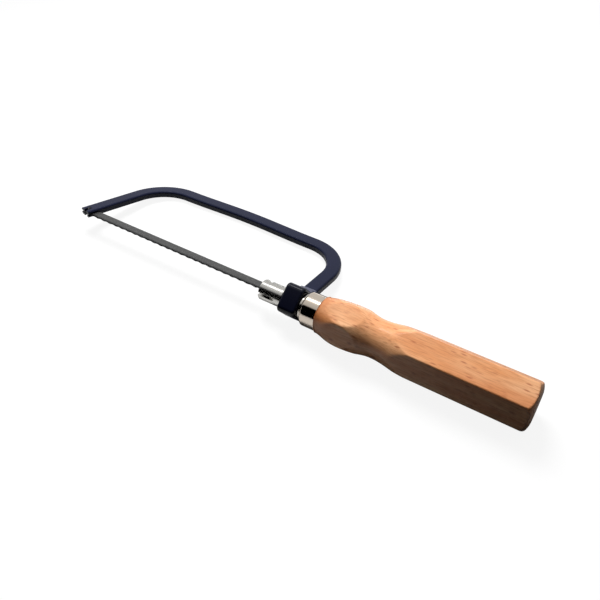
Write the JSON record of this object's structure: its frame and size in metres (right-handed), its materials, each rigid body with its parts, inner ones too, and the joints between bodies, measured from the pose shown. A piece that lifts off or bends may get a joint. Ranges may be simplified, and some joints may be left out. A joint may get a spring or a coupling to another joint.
{
  "type": "mini hacksaw",
  "caption": "Small hacksaw: a bent flat-bar bow holds a pin-ended toothed blade, and a faceted wooden handle turns on a screw to tension it.",
  "frame": {"origin": "centre of the flat at the handle's butt, on the handle's axis", "axes": "+X along the handle's axis from the saw's tip to the butt, +Y from the blade to the bow's back, +Z square to the bow's flat sides"},
  "size_m": [0.302, 0.078, 0.0272],
  "materials": {
    "bow_paint": "gloss",
    "boss_paint": "gloss",
    "washer_steel": "polished",
    "satin_nickel": "satin",
    "blade_steel": "satin, dark",
    "pin_steel": "satin",
    "polished_nickel": "polished",
    "nut_steel": "zinc plated",
    "beech": "clear varnish"
  },
  "bodies": {
    "frame": {"frame_bow": "bow_paint", "frame_boss": "boss_paint", "thrust_washer": "washer_steel"},
    "bolt": {"tension_bolt": "satin_nickel"},
    "blade": {"blade": "blade_steel", "blade_front_pin": "pin_steel", "blade_rear_pin": "pin_steel"},
    "handle": {"handle": "beech", "ferrule": "polished_nickel", "handle_nut": "nut_steel"}
  },
  "joints": [
    {"name": "handle_turn", "type": "hinge", "parent": "frame", "child": "handle", "pos_m": [-0.12, 0, 0], "axis": [1, 0, 0], "range_deg": [0, 450]},
    {"name": "bolt_slide", "type": "slide", "parent": "frame", "child": "bolt", "axis": [-1, 0, 0], "range_m": [0, 0.00101]},
    {"name": "blade_swing", "type": "hinge", "parent": "frame", "child": "blade", "pos_m": [-0.297, 0.0019, 0], "axis": [0, 0, 1], "range_deg": [0, 5]}
  ],
  "couplings": [
    {"joint": "bolt_slide", "follows": "handle_turn", "m_per_rad": 0.00012732}
  ]
}
